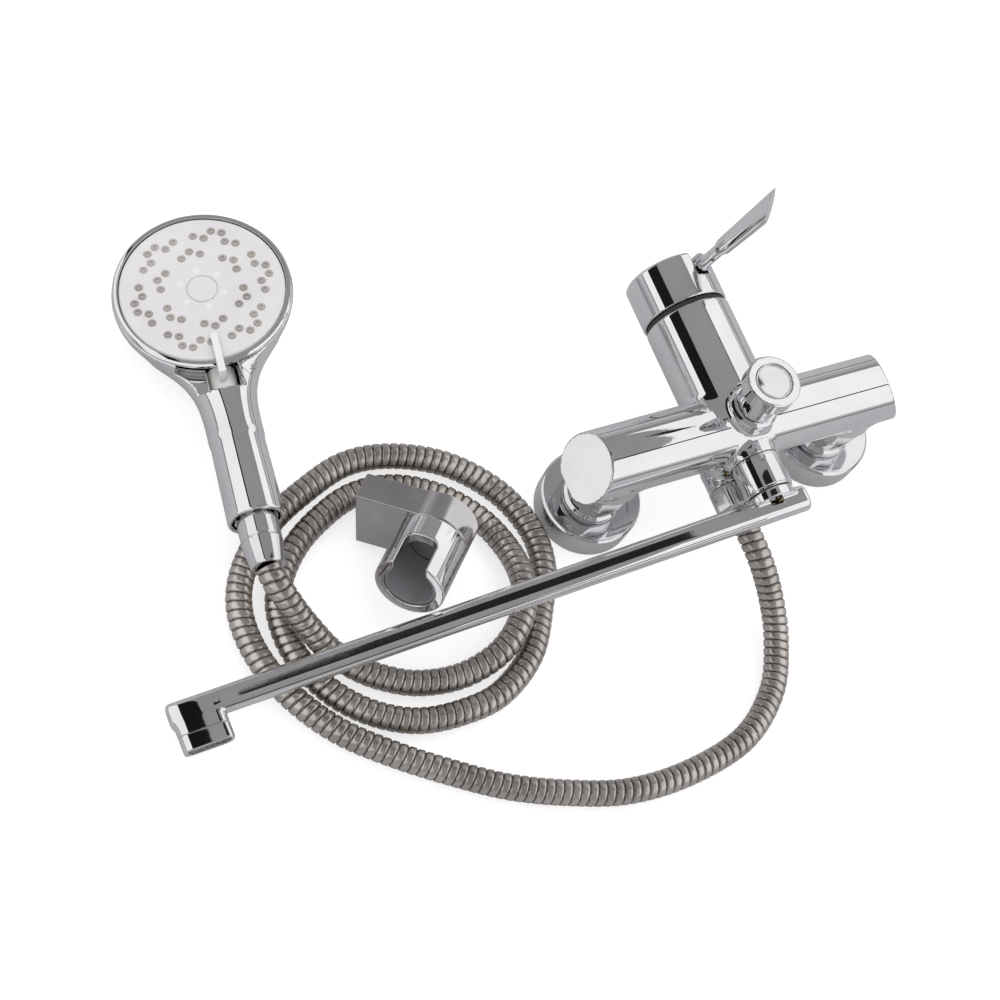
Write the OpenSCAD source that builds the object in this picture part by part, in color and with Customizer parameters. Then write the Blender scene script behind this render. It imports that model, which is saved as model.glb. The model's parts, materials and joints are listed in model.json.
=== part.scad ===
// Wall mounted bath and shower mixer with long swivel spout, hand shower,
// flexible hose and swivelling wall holder. Millimetres. The wall plane is z = 0.

/* [Body] */
// diameter of the cross tube
tube_d = 38; // [34:1:44]
// distance between the two water inlets
inlet_c = 150; // [140:1:160]
// height of the cross tube axis above the wall
axis_h = 62; // [56:1:70]
// half length of the cross tube
tube_half = 94; // [88:1:100]
// diameter of the cartridge housing
housing_d = 48.4; // [46:0.2:54]
// top of the cartridge housing above the tube axis
housing_top = 67; // [62:1:74]

/* [Wall flanges] */
// diameter of the flange rim on the wall
flange_rim = 56; // [52:1:70]
// diameter of the flange front edge
flange_front = 56.6; // [52:0.2:70]
// height of the flange
flange_h = 17.6; // [12:0.2:24]

/* [Lever] */
// height of the lever cap
cap_h = 26.5; // [22:0.5:34]
// diameter of the lever cap
cap_d = 49; // [46:0.5:54]
// height of the lever rod above the tube axis
rod_y = 87; // [82:1:92]
// reach of the lever tip from the cap axis
rod_tip = 82; // [70:1:86]
// turn of the lever toward the cold side
lever_turn = 22; // [-40:1:40]

/* [Spout] */
// reach of the spout from the swivel axis
spout_reach = 341; // [250:1:400]
// droop angle of the spout below level
spout_drop = 8.5; // [0:0.1:9]
// width of the spout bar
spout_w = 14; // [12:0.5:20]
// thickness of the spout bar
spout_t = 11; // [9:0.5:16]

/* [Hand shower] */
// diameter of the shower head shell
head_d = 96; // [80:1:120]
// diameter of the spray face
face_d = 88; // [74:1:112]
// diameter of the handle at its end
handle_d = 30; // [24:1:34]
// outside diameter of the hose
hose_d = 14; // [12:0.5:16]

/* [Wall holder] */
// length of the holder arm from the clip axis
arm_l = 43; // [36:1:70]
// outside diameter of the clip
clip_d = 38; // [34:1:48]

/* [Hidden] */
$fn = 96;
R = tube_d/2;
H = axis_h;
ox = -7; oz = 36.6;
e = 0.05;

module ycyl(d, y0, y1, x = 0, z = H, d2 = -1)
  translate([x, y0, z]) rotate([-90, 0, 0]) cylinder(d1 = d, d2 = d2 < 0 ? d : d2, h = y1-y0);
module rrect(w, h, r) { square([w-2*r, h], center = true); square([w, h-2*r], center = true);
  for (sx = [-1, 1], sy = [-1, 1]) translate([sx*(w/2-r), sy*(h/2-r)]) circle(r); }
module ring(do, di, h) difference() { cylinder(d = do, h = h); translate([0, 0, -1]) cylinder(d = di, h = h+2); }
module hex(af, h) cylinder(d = af/cos(30), h = h, $fn = 6);
module turn() translate([0, 0, H]) rotate([0, lever_turn, 0]) children();
module sp() translate([0, 0, H]) rotate([0, -spout_drop, 0]) children();
module hs() translate([-244.6, 163.2, 36.2]) rotate([-5, -12.3, -8.3]) children();
module br() translate([-172, 0.4, 32.1]) rotate([-78.7, 18.8, 136.4]) children();

// fixed body
module body_casting() color("silver") difference() {
  union() {
    translate([-tube_half-8, 0, H]) rotate([0, 90, 0]) cylinder(d = tube_d, h = 2*tube_half+16);
    for (s = [-1, 1]) translate([s*inlet_c/2, 0, 44]) cylinder(d = tube_d, h = H-44);
    ycyl(housing_d, 0, housing_top-0.6);
    ycyl(housing_d-1.2, 0, housing_top);
    ycyl(28, -22, 0);
    translate([0, 0, H]) cylinder(d = 25, h = R+3.5);
    translate([ox, -12, oz]) cylinder(d = 22, h = H-oz);
    translate([ox, -12, oz]) sphere(d = 22);
    ycyl(22, -24, -12, ox, oz);
  }
  // oblique end facets
  for (s = [0, 1]) mirror([s, 0, 0]) translate([-tube_half-0.2, 0, H]) rotate([0, 20, 0]) translate([-30, -40, -60]) cube([30, 80, 120]);
  // waterways
  translate([-inlet_c/2, 0, H]) rotate([0, 90, 0]) cylinder(d = 20, h = inlet_c);
  for (s = [-1, 1]) translate([s*inlet_c/2, 0, 40]) { cylinder(d = 19, h = H-40); cylinder(d = 27.2, h = 4); }
  for (s = [-1, 1]) translate([s*inlet_c/2, 0, 43]) ring(39, 27, 1.8);
  ycyl(35.3, 30, housing_top+1);
  ycyl(41.9, 57, housing_top+1);
  for (s = [-1, 1]) ycyl(7, 10, 31, s*7);
  ycyl(19.2, -23, 5);
  translate([0, 0, H-6.4]) cylinder(d = 18.2, h = R+12.4);
  translate([0, 0, H+R+3.5]) cylinder(d = 28, h = 8);
  ycyl(28.4, -45, -22.1);
  ycyl(12, -25, -11, ox, oz);
  translate([ox, -12, oz]) cylinder(d = 10, h = H-oz);
}
module wall_connectors() color("goldenrod") for (s = [-1, 1]) translate([s*inlet_c/2, 0, 0]) difference() {
  union() { cylinder(r = 10.48, h = 18); translate([0, 0, 18]) hex(22, 4.4); cylinder(d = 18, h = 30);
    translate([0, 0, 22.4]) cylinder(d = 26, h = 8); translate([0, 0, 30.4-e]) cylinder(d = 24.4, h = 11.2); }
  translate([0, 0, -1]) cylinder(d = 14, h = 50);
}
module wall_flanges() color("silver") for (s = [-1, 1]) translate([s*inlet_c/2, 0, 0]) difference() {
  rotate_extrude() polygon([[0, 0], [flange_rim/2, 0], [flange_rim/2+0.2, flange_h-1.2], [flange_front/2-0.2, flange_h-0.4], [flange_front/2-1.2, flange_h],
    [14.2, flange_h], [14.2, flange_h-1.6], [0, flange_h-1.6]]);
  translate([0, 0, -1]) cylinder(d = flange_rim-4, h = flange_h-1);
  translate([0, 0, -1]) cylinder(d = 21.6, h = 40);
}
module union_nuts() color("silver") for (s = [-1, 1]) translate([s*inlet_c/2, 0, 24]) difference() {
  intersection() { hex(31, 19.4); cylinder(d1 = 32, d2 = 37, h = 19.4); }
  translate([0, 0, -1]) cylinder(d = 26.2, h = 7.8);
  translate([0, 0, 6]) cylinder(d = 24.8, h = 20);
}
module inlet_seals() color("dimgray") for (s = [-1, 1]) translate([s*inlet_c/2, 0, 41.7]) ring(24, 16, 1.9);
module inlet_strainers() color("gray") for (s = [-1, 1]) translate([s*inlet_c/2, 0, 46]) difference() {
  cylinder(d = 18.8, h = 3);
  translate([0, 0, 1]) cylinder(d = 16.4, h = 3);
  for (i = [-2:2], j = [-2:2]) if (i*i+j*j < 6) translate([i*3.2, j*3.2, -1]) cylinder(d = 2, h = 4);
}
// mixing cartridge
module cartridge_shell() color("white") difference() {
  union() { ycyl(35, 32, 56.6); ycyl(29.6, 56, 65.6); }
  ycyl(31, 36.2, 54);
  ycyl(23, 53, 66);
  for (s = [-1, 1]) ycyl(6, 31, 37, s*7);
  ycyl(6, 31, 37, 0, H-9);
}
module cartridge_seal() color("dimgray") difference() {
  ycyl(33, 30, 32);
  for (s = [-1, 1]) ycyl(7.4, 29, 33, s*7);
  ycyl(7.4, 29, 33, 0, H-9);
}
module ceramic_disc_fixed() color("ivory") difference() {
  ycyl(30.6, 36.25, 40.2);
  for (s = [-1, 1]) ycyl(5.6, 36, 41, s*7);
  ycyl(5.6, 36, 41, 0, H-9);
}
module ceramic_disc_moving() color("ivory") turn() difference() {
  translate([0, 0, -2]) union() { ycyl(20, 40.3, 44.6, 0, 0); ycyl(13.6, 44.5, 49.4, 0, 2); }
  ycyl(8.2, 45.4, 60, 0, 0);
}
module cartridge_stem() color("gray") turn() difference() {
  union() { ycyl(7, 49, 60, 0, 0); translate([0, 49.4, 0]) sphere(d = 7); ycyl(9.6, 58, 92, 0, 0);
    translate([0, 63, 0]) sphere(d = 14); }
  translate([0, rod_y, -3]) cylinder(d = 5.1, h = 12);
  ycyl(4.1, rod_y+2.4, 93, 0, 0);
}
module clamp_nut() color("goldenrod") difference() {
  ycyl(41.6, 57.2, 66.6);
  ycyl(30, 56, 68);
  for (a = [0:60:300]) rotate([0, 0, 0]) translate([0, 67, H]) rotate([0, a, 0]) translate([0, -3, 17.5]) cube([3.4, 6.2, 4], center = true);
}
module trim_ring() color("dimgray") difference() {
  union() { ycyl(46.4, 67.05, 69.6); }
  ycyl(38.4, 66, 70);
}
module lever_cap() color("silver") turn() difference() {
  union() { ycyl(cap_d, 69.9, 69.9+cap_h-1.2, 0, 0); ycyl(cap_d, 69.9+cap_h-1.25, 69.9+cap_h, 0, 0, cap_d-2.4); }
  ycyl(43, 69, 93, 0, 0);
  translate([-4.6, 82, 6]) cube([9.2, 30, 30]);
  ycyl(9.2, 82, 110, 0, 6);
}
module lever_rod() color("silver") turn() translate([0, rod_y, 0]) difference() {
  union() {
    translate([0, 0, 1.2]) cylinder(d = 5, h = 9);
    translate([0, 0, 6.4]) cylinder(d = 6.6, h = 35.6);
    translate([0, 0, 40]) cylinder(d1 = 7, d2 = 9.4, h = 3);
    translate([0, 0, 43-e]) cylinder(d1 = 9.4, d2 = 12.4, h = 53);
  }
  translate([0, 0, rod_tip]) rotate([0, 58.2, -54.7]) translate([-60, -60, 0]) cube([120, 120, 60]);
}
module lever_set_screw() color("dimgray") turn() translate([0, rod_y+2.6, 0]) rotate([-90, 0, 0]) difference() {
  cylinder(d = 4, h = 2.8);
  translate([0, 0, 1.4]) hex(2, 4);
}
// spout
module spout_collar() color("silver") difference() {
  union() { ycyl(26.4, -41.6, -22.2); ycyl(27.4, -40.6, -23.2); }
  ycyl(19.3, -42, -21);
}
module spout_pipe() color("silver") sp() difference() {
  union() {
    translate([-spout_reach+2, -50, 0]) rotate([90, 0, 90]) linear_extrude(spout_reach+14) rrect(spout_w, spout_t, 4.6);
    translate([16-e, -50, 0]) rotate([90, 0, 90]) linear_extrude(2.6) rrect(spout_w-2, spout_t-2, 3.6);
    translate([-spout_reach, -50, 0]) rotate([90, 0, 90]) linear_extrude(3) rrect(spout_w-2, spout_t-2, 3.6);
    ycyl(25.6, -47.5, -42, 0, 0);
    translate([-spout_reach+1+13.5, -57, 0]) rotate([90, 0, 0]) linear_extrude(4.8) rrect(25, spout_t, 4.6);
  }
  translate([-spout_reach+6, -50, 0]) rotate([90, 0, 90]) linear_extrude(spout_reach-6) rrect(spout_w-3, spout_t-3, 2);
  ycyl(13, -50, -41, 0, 0);
  translate([-spout_reach+14.5, -50, 0]) rotate([90, 0, 0]) linear_extrude(12.6) rrect(20, spout_t-3.4, 2);
}
module spout_spigot() color("goldenrod") sp() difference() {
  union() { ycyl(18.9, -41.9, -9.6, 0, 0); ycyl(12.8, -46, -41, 0, 0); }
  ycyl(10, -60, -7, 0, 0);
  for (y = [-19, -28]) translate([0, y, 0]) rotate([-90, 0, 0]) ring(22, 15.6, 2.6);
}
module spout_orings() color("dimgray") sp() for (y = [-17.7, -26.7]) translate([0, y, 0]) rotate([-90, 0, 0]) rotate_extrude() translate([8.5, 0]) circle(0.68, $fn = 24);
module aerator_housing() color("silver") sp() translate([-spout_reach+14.5, -61.9, 0]) rotate([90, 0, 0]) difference() {
  linear_extrude(8.6) rrect(26.6, spout_t+0.8, 3);
  translate([0, 0, -1]) linear_extrude(12) rrect(22.6, spout_t-3, 2);
}
module aerator_insert() color("white") sp() translate([-spout_reach+14.5, -62, 0]) rotate([90, 0, 0]) difference() {
  linear_extrude(6.4) rrect(22.5, spout_t-3.1, 2);
  for (i = [-3:3], j = [-1, 0, 1]) translate([i*2.9, j*2.3, -1]) cylinder(d = 1.5, h = 9);
}
module aerator_mesh() color("dimgray") sp() translate([-spout_reach+14.5, -68.5, 0]) rotate([90, 0, 0]) difference() {
  linear_extrude(1.2) rrect(22.4, spout_t-3.2, 2);
  for (i = [-6:6], j = [-2:2]) translate([i*1.6, j*1.45, -1]) cube([0.95, 0.9, 6], center = true);
}
// diverter
module diverter_bonnet() color("silver") translate([0, 0, H+R+3.6]) difference() {
  union() { cylinder(d = 27, h = 2.6); translate([0, 0, 2.6]) cylinder(d1 = 27, d2 = 24, h = 1.2); translate([0, 0, -12]) cylinder(d = 18, h = 12.5); }
  translate([0, 0, -13]) cylinder(d = 8.2, h = 20);
}
module diverter_spindle() color("goldenrod") difference() {
  translate([0, 0, H-2]) cylinder(d = 8, h = 44);
  translate([0, 0, H+36]) cylinder(d = 3, h = 12);
}
module diverter_rotor() color("ivory") translate([0, 0, H-6]) difference() {
  cylinder(d = 17.8, h = 9);
  translate([0, 0, -1]) cylinder(d = 8, h = 4.9);
  translate([0, 0, 4]) cylinder(d = 8, h = 6);
  rotate([0, 90, 0]) translate([-4.5, 0, 0]) cylinder(d = 3.4, h = 20);
  translate([0, -20, 2]) cube([3.4, 22, 3.4]);
}
module diverter_knob() color("silver") translate([0, 0, H+R+8]) difference() {
  union() {
    intersection() { cylinder(d = 22, h = 16); translate([-9.6, -12, 0]) cube([19.2, 24, 16]); }
    cylinder(d = 19.6, h = 16);
    translate([0, 0, 14.6]) cylinder(d1 = 24, d2 = 30, h = 2);
    translate([0, 0, 16.55]) cylinder(d = 30, h = 8.6);
    translate([0, 0, 25.1]) cylinder(d1 = 30, d2 = 28.6, h = 1);
    translate([0, 12.6, 16.6]) cylinder(d = 8, h = 6);
  }
  translate([0, 0, -1]) cylinder(d = 8.05, h = 18.1);
  translate([0, 0, 16]) cylinder(d = 3.4, h = 20);
  translate([0, 0, 24.6]) cylinder(d = 20.4, h = 4);
}
module diverter_cap() color("silver") translate([0, 0, H+R+32.65]) difference() {
  union() { cylinder(d = 20.2, h = 1.3); translate([0, 0, -7]) cylinder(d = 3, h = 7.5); }
  translate([0, 0, 0.9]) ring(19, 17.6, 2);
}
// shower outlet and hose ends
module outlet_nipple() color("goldenrod") difference() {
  union() { ycyl(12, -24.1, -18, ox, oz); ycyl(20.4, -33, -24.05, ox, oz); }
  ycyl(9, -31, -17, ox, oz);
  ycyl(5.6, -34, -30, ox, oz);
}
module check_valve_poppet() color("white") { ycyl(8.2, -21.8, -19.6, ox, oz); ycyl(3.2, -29.4, -21.7, ox, oz);
  for (a = [0:90:270]) translate([ox, 0, oz]) rotate([0, a, 0]) translate([-0.5, -27, 0]) cube([1, 5.4, 3.6]); }
module outlet_hose_nut() color("silver") difference() {
  union() { translate([ox, -37, oz]) rotate([-90, 0, 0]) intersection() { hex(22.6, 12.4); cylinder(d = 24.6, h = 12.4); } ycyl(16.4, -42, -36.9, ox, oz, 20.8); }
  ycyl(20.5, -34.9, -20, ox, oz);
  ycyl(hose_d-2.6, -50, -30, ox, oz);
}
module outlet_washer() color("dimgray") difference() { ycyl(19.8, -34.85, -33.05, ox, oz); ycyl(9, -36, -30, ox, oz); }

// hose route, hand laid, root to handset
route = [[-7,-42.05,36.6],[-6.9,-52.5,36],[-5.2,-68.3,32],[-3,-86.1,21.2],[-6,-106.2,12.7],[-18.9,-131.4,7.7],[-45.9,-151.1,7.2],[-84,-159,7.2],[-120,-158,7.2],[-151,-149,7.2],
[-181,-136,7.2],[-208,-119,7.2],[-234,-100,7.2],[-256,-80,7.2],[-272,-56,7.2],[-281,-30,7.2],[-281,-5,7.2],[-271,16,7.2],[-250,36,7.2],[-225,49,7.2],
[-197,58,8],[-170,55,9],[-142,42,8.4],[-120.9,20,7.2],[-111.7,-5.5,7.2],[-113.6,-27.8,7.2],[-124.5,-48.9,7.1],[-140.7,-72.2,7.2],[-165.1,-87.5,7.2],[-190,-90.9,7.2],
[-214,-88,7.2],[-235,-77,7.2],[-251.2,-60.1,7.2],[-261.2,-38,7.2],[-262.4,-15.7,7.2],[-256.1,2.6,7.2],[-242.1,19,7.2],[-224,31,7.2],[-200.1,40,7.2],[-176,38.5,7.2],
[-154,27,7.2],[-137.8,8.8,7.5],[-130.8,-11.9,10.5],[-131.4,-31.8,15.6],[-136.9,-47.5,17.3],[-147.7,-60.6,16.5],[-163,-69.4,13],[-183.2,-72.4,8],[-206,-69,7.3],[-224,-59.8,7.3],
[-236.5,-50,9.4],[-245.8,-39.6,12.8],[-252.6,-29.8,18.6],[-258.6,-20.6,25],[-263.4,-11.2,30.8],[-266.6,-3.6,34.2],[-267.6,4.06,35.23]];
NR = len(route);
function cr(i, t) = let(a = route[max(i-1, 0)], b = route[i], c = route[min(i+1, NR-1)], d = route[min(i+2, NR-1)])
  0.5*((2*b)+(c-a)*t+(2*a-5*b+4*c-d)*t*t+(3*b-a-3*c+d)*t*t*t);
path = [for (i = [0:NR-2], k = [0:1]) if (!(k == 1 && (i%5) < 3)) cr(i, k/2), route[NR-1]];
NP = len(path);
function unit(v) = v/norm(v);
function tang(i) = i == 0 ? [0, -1, 0] : i == NP-1 ? [0.1622, 0.9831, -0.0852] : unit(path[i+1]-path[i-1]);
NS = 12;
module shower_hose() color("gray") {
  pts = [for (i = [0:NP-1]) let(t = tang(i), s = unit(cross(t, [0.01, 0.02, 1])), u = cross(s, t)) for (k = [0:NS-1])
    path[i]+(hose_d/2)*(cos(360*k/NS)*s+sin(360*k/NS)*u)];
  polyhedron(points = pts, faces = concat([[for (k = [0:NS-1]) k]], [[for (k = [0:NS-1]) (NP-1)*NS+NS-1-k]],
    [for (i = [0:NP-2], k = [0:NS-1]) [i*NS+k, (i+1)*NS+k, (i+1)*NS+(k+1)%NS, i*NS+(k+1)%NS]]), convexity = 12);
}
module handset_cone_nut() color("silver") hs() difference() {
  union() { ycyl(21.4, -144.6, -133.2, 0, -15); ycyl(17.2, -160, -145.2, 0, -15, 21.6); ycyl(20, -146, -144, 0, -15); }
  ycyl(16.8, -143, -130, 0, -15);
  ycyl(hose_d-2.6, -170, -140, 0, -15);
}
module cone_washer() color("dimgray") hs() difference() { ycyl(16.4, -142.95, -141.4, 0, -15); ycyl(9, -150, -130, 0, -15); }
// hand shower
// flat-sided sector that the selector tab sweeps through
module sector(r0, r1) polygon([for (q = [[r0, -118.5], [r1, -118.5], [r1, -99], [r1, -79.5], [r0, -79.5]]) [q[0]*cos(q[1]), q[0]*sin(q[1])]]);
module handset_shell() color("silver") hs() difference() {
  union() {
    rotate_extrude() polygon([[0, -33], [14, -33], [24, -31.4], [33, -27.4], [40, -21.5], [45, -14.5], [47.4, -8], [48, -3.2], [47.4, -1.6], [0, -1.6]]);
    ycyl(handle_d, -133, -30, 0, -15, handle_d-3);
    hull() { translate([0, -82, -15]) rotate([-90, 0, 0]) cylinder(d = handle_d-1.7, h = 1, $fn = 48);
      for (x = [-25, 25]) translate([x, -30, -15]) sphere(d = 21, $fn = 32);
      for (x = [-11, 11]) translate([x, -41, -14.8]) sphere(d = 24, $fn = 32); }
  }
  rotate_extrude() polygon([[0, -30.5], [14, -30.5], [23, -28.8], [31, -25.2], [37.6, -19.6], [42, -13.4], [44.8, -7.4], [45.2, 1], [0, 1]]);
  translate([0, 0, -8.2]) linear_extrude(9) sector(40, 60);
  ycyl(handle_d-5, -132.9-3, -120, 0, -15);
  ycyl(handle_d-7, -121, -60, 0, -15);
  ycyl(20, -62, -20, 0, -15);
}
module handset_inner_tube() color("white") hs() difference() {
  union() { ycyl(15, -128, -43.5, 0, -15); ycyl(22.6, -121, -118, 0, -15); }
  ycyl(10, -130, -40, 0, -15);
}
module handset_connector() color("goldenrod") hs() difference() {
  union() { ycyl(16.6, -141.3, -128.1, 0, -15); ycyl(22.8, -132, -128.05, 0, -15); }
  ycyl(9, -150, -120, 0, -15);
}
module handset_back_plate() color("white") hs() difference() {
  translate([0, 0, -12]) cylinder(d = 83, h = 3.5);
  for (a = [0:60:300]) rotate([0, 0, a]) translate([22, 0, -14]) cylinder(d = 7, h = 8);
  for (a = [0:60:300]) rotate([0, 0, a]) translate([39.5, 0, -14]) cylinder(d = 2, h = 8);
  translate([0, 0, -14]) cylinder(d = 6.4, h = 8);
}
module face_rim() color("silver") hs() difference() {
  rotate_extrude() polygon([[44.4, -1.5], [47.3, -1.5], [47.2, 0.2], [46.2, 1.2], [44.9, 1.5], [44.4, 1.3]]);
}
module face_plate() color("whitesmoke") hs() difference() {
  rotate_extrude() polygon([[0, -2.4], [39, -2.4], [39, -8.3], [42, -8.3], [42, -2.4], [face_d/2, -2.4], [face_d/2, 0.45], [face_d/2-0.8, 1.05], [0, 1.05]]);
  for (p = noz) translate([p[0], p[1], -9]) cylinder(d = 3.3, h = 12);
  translate([0, 0, -9]) cylinder(d = 6.3, h = 12);
  translate([0, 0, 0.3]) cylinder(d = 16.6, h = 3);
  translate([0, 0, -9]) linear_extrude(4.2) sector(36, 52);
  for (a = [35:60:335]) rotate([0, 0, a]) translate([11.9, 0, 0]) { translate([0, 0, 0.55]) ring(3.6, 2.4, 1); translate([0, 0, -9]) cylinder(d = 1, h = 12); }
}
noz = concat(
 [for (g = [0:5], k = [0:5]) let(a = g*60+6.5+[-20.4, -10.4, -4.5, 4.5, 10.4, 20.4][k], r = [33.2, 31.6, 36.3, 36.3, 31.6, 33.2][k]) [r*cos(a), r*sin(a)]],
 [for (g = [0:5], k = [0:2]) let(a = g*60+35+[-13.6, 0, 13.6][k], r = [21.7, 24.1, 21.7][k]) [r*cos(a), r*sin(a)]]);
module spray_nozzles() color("gray") hs() {
  for (p = noz) translate([p[0], p[1], -4]) cylinder(d = 3.1, h = 5.8);
  difference() { translate([0, 0, -4.2]) cylinder(d = 77, h = 1.7); translate([0, 0, -10]) cylinder(d = 8, h = 8); }
}
module spray_selector() color("white") hs() {
  difference() { translate([0, 0, -7.4]) cylinder(d = 75, h = 1.8); translate([0, 0, -8]) cylinder(d = 8, h = 4);
    for (a = [30:60:330]) rotate([0, 0, a]) translate([13, 0, -8]) cylinder(d = 5, h = 5);
    for (a = [35:60:335]) rotate([0, 0, a]) translate([24, 0, -8]) cylinder(d = 6, h = 5); }
  rotate([0, 0, -90]) { translate([34, -2, -7.4]) cube([19, 4, 1.8]); translate([51.2, -2, -7.4]) cube([1.8, 4, 11.4]);
    translate([30, -2, 2.2]) cube([23, 4, 1.8]); translate([30, 0, 2.2]) cylinder(d = 4, h = 1.8); }
}
module face_screw() color("whitesmoke") hs() { translate([0, 0, 0.35]) cylinder(d = 16, h = 1); translate([0, 0, -11.9]) cylinder(d = 6, h = 12.3); }
// wall holder for the hand shower
module holder_block() color("gray") br() difference() {
  union() { translate([0, -17.5, -8.7]) cube([arm_l, 35, 17.4]); translate([0, 0, -8.7]) cylinder(d = clip_d, h = 17.4); }
  translate([0, 0, -20]) cylinder(d = 16, h = 40);
  for (s = [-1, 1]) translate([arm_l-14, s*9, 0]) rotate([0, 90, 0]) cylinder(d = 5, h = 20);
  translate([arm_l-4, -13.5, -6]) cube([8, 27, 12]);
}
module holder_clip() color("silver") br() difference() {
  union() { translate([0, 0, 9]) cylinder(d = clip_d, h = 34); translate([0, 0, -4]) cylinder(d = 15.86, h = 14); }
  translate([0, 0, 13]) cylinder(d1 = 23.6, d2 = 28.2, h = 31);
  translate([-8.5, -30, 27]) cube([17, 30, 60]);
  translate([0, 0, 27]) rotate([90, 0, 0]) linear_extrude(30) rrect(17, 8, 3.9);
  translate([0, 0, -5]) cylinder(d = 4.2, h = 12);
}
module holder_spigot_screw() color("dimgray") br() difference() {
  union() { translate([0, 0, -7]) cylinder(d = 13, h = 2.95); translate([0, 0, -4.5]) cylinder(d = 4.1, h = 11); }
  translate([0, 0, -8]) hex(3, 2.6);
}
module holder_liner() color("whitesmoke") br() difference() {
  translate([0, 0, 13.1]) cylinder(d1 = 23.5, d2 = 27.8, h = 28.9);
  translate([0, 0, 13]) cylinder(d1 = 21.2, d2 = 25.4, h = 30);
  translate([-9.4, -30, 12]) cube([18.8, 34, 60]);
}

body_casting();
wall_connectors();
wall_flanges();
union_nuts();
inlet_seals();
inlet_strainers();
cartridge_shell();
cartridge_seal();
ceramic_disc_fixed();
ceramic_disc_moving();
cartridge_stem();
clamp_nut();
trim_ring();
lever_cap();
lever_rod();
lever_set_screw();
spout_collar();
spout_pipe();
spout_spigot();
spout_orings();
aerator_housing();
aerator_insert();
aerator_mesh();
diverter_bonnet();
diverter_spindle();
diverter_rotor();
diverter_knob();
diverter_cap();
outlet_nipple();
check_valve_poppet();
outlet_hose_nut();
outlet_washer();
shower_hose();
handset_cone_nut();
cone_washer();
handset_shell();
handset_inner_tube();
handset_connector();
handset_back_plate();
face_rim();
face_plate();
spray_nozzles();
spray_selector();
face_screw();
holder_block();
holder_clip();
holder_spigot_screw();
holder_liner();
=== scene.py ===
import json
import math

import bpy
import numpy as np
from mathutils import Matrix, Vector


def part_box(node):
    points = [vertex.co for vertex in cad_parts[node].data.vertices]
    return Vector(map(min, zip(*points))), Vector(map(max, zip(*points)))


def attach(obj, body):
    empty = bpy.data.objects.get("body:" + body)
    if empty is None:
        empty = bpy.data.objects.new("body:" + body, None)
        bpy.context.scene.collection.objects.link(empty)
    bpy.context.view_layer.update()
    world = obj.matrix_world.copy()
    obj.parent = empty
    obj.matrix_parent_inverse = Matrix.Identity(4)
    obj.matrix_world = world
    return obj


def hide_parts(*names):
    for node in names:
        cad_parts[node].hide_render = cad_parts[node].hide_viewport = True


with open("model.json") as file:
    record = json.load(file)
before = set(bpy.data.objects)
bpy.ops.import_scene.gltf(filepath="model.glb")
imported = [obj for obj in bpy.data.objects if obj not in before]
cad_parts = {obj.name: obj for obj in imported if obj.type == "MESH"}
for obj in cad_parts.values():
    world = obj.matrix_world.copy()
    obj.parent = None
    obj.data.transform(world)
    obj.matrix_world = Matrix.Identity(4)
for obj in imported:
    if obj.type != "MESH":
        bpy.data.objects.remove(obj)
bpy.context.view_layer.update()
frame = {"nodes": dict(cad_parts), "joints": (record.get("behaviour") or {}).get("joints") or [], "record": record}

record = frame["record"]
joints = {j["name"]: j for j in frame["joints"]}
pi = math.pi


def anchor(name):
    """A joint's anchor in millimetres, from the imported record."""
    j = joints[name]
    return [1000 * float(x) for x in j["pos_m"]]


def ROT(x, y, z):
    return Matrix.Rotation(math.radians(z), 4, "Z") @ Matrix.Rotation(math.radians(y), 4, "Y") @ Matrix.Rotation(math.radians(x), 4, "X")


def centre(node):
    lo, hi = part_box(node)
    return [500 * (a + b) for a, b in zip(lo, hi)]


# millimetre frames of the sub-assemblies
H = 1000 * 0.5 * (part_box("lever_cap")[0][2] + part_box("lever_cap")[1][2])     # height of the cross tube axis
H = round(H, 1)
I4 = Matrix.Identity(4)
TURN = Matrix.Translation((0, 0, H)) @ ROT(0, 22, 0)
SP = Matrix.Translation((0, 0, H)) @ ROT(0, -8.5, 0)
HS = Matrix.Translation(anchor("spray_select")) @ ROT(-5, -12.3, -8.3)
BR = Matrix.Translation(anchor("cradle_turn")) @ ROT(-78.7, 18.8, 136.4)

# ------------------------------------------------------------------ camera
cam_data = bpy.data.cameras.new("photo_camera")
cam = bpy.data.objects.new("photo_camera", cam_data)
bpy.context.scene.collection.objects.link(cam)
right, up, back = Vector((0.88245505, -0.3812814, 0.27549516)), Vector((0.24744173, 0.8743447, 0.41748526)), Vector((-0.4000571, -0.30024297, 0.86591482))
m = Matrix((right, up, back)).transposed().to_4x4()
m.translation = Vector((-0.657114, -0.386888, 1.166749))
cam.matrix_world = m
cam_data.lens = 89.295
cam_data.sensor_width = 36
cam_data.clip_start, cam_data.clip_end = 0.05, 20
bpy.context.scene.camera = cam


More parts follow.
